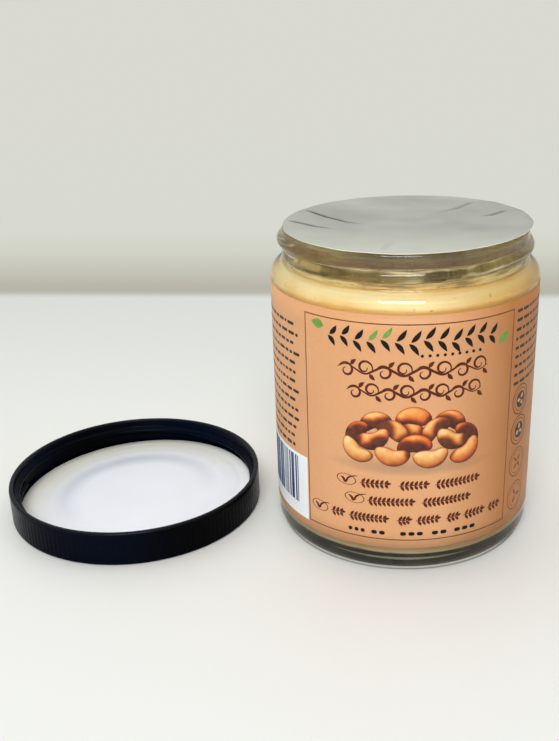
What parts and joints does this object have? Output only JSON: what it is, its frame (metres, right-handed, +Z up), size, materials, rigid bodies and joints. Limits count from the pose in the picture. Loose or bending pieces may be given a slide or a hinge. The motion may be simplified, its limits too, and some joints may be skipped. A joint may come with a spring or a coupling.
{
  "type": "jar of cashew butter",
  "caption": "Straight-sided glass jar filled with nut butter, with a wrap label and a foil seal on its mouth, and its ribbed screw cap lying open side up beside it.",
  "frame": {"origin": "centre of the jar's base, on the surface it stands on", "axes": "+Z up along the jar's axis, -Y towards the front of the label, -X towards the cap that lies beside it"},
  "size_m": [0.1545, 0.0748, 0.087],
  "materials": {
    "glass": "clear polished",
    "butter": "creamy, slightly oily",
    "label": "smooth satin print",
    "foil": "satin, faintly creased",
    "cap_plastic": "glossy, fine upright ribs",
    "liner": "smooth white foam"
  },
  "bodies": {
    "root": {"glass_jar": "glass", "cashew_butter": "butter", "wrap_label": "label", "foil_seal": "foil", "screw_cap": "cap_plastic", "cap_liner": "liner"}
  },
  "joints": []
}
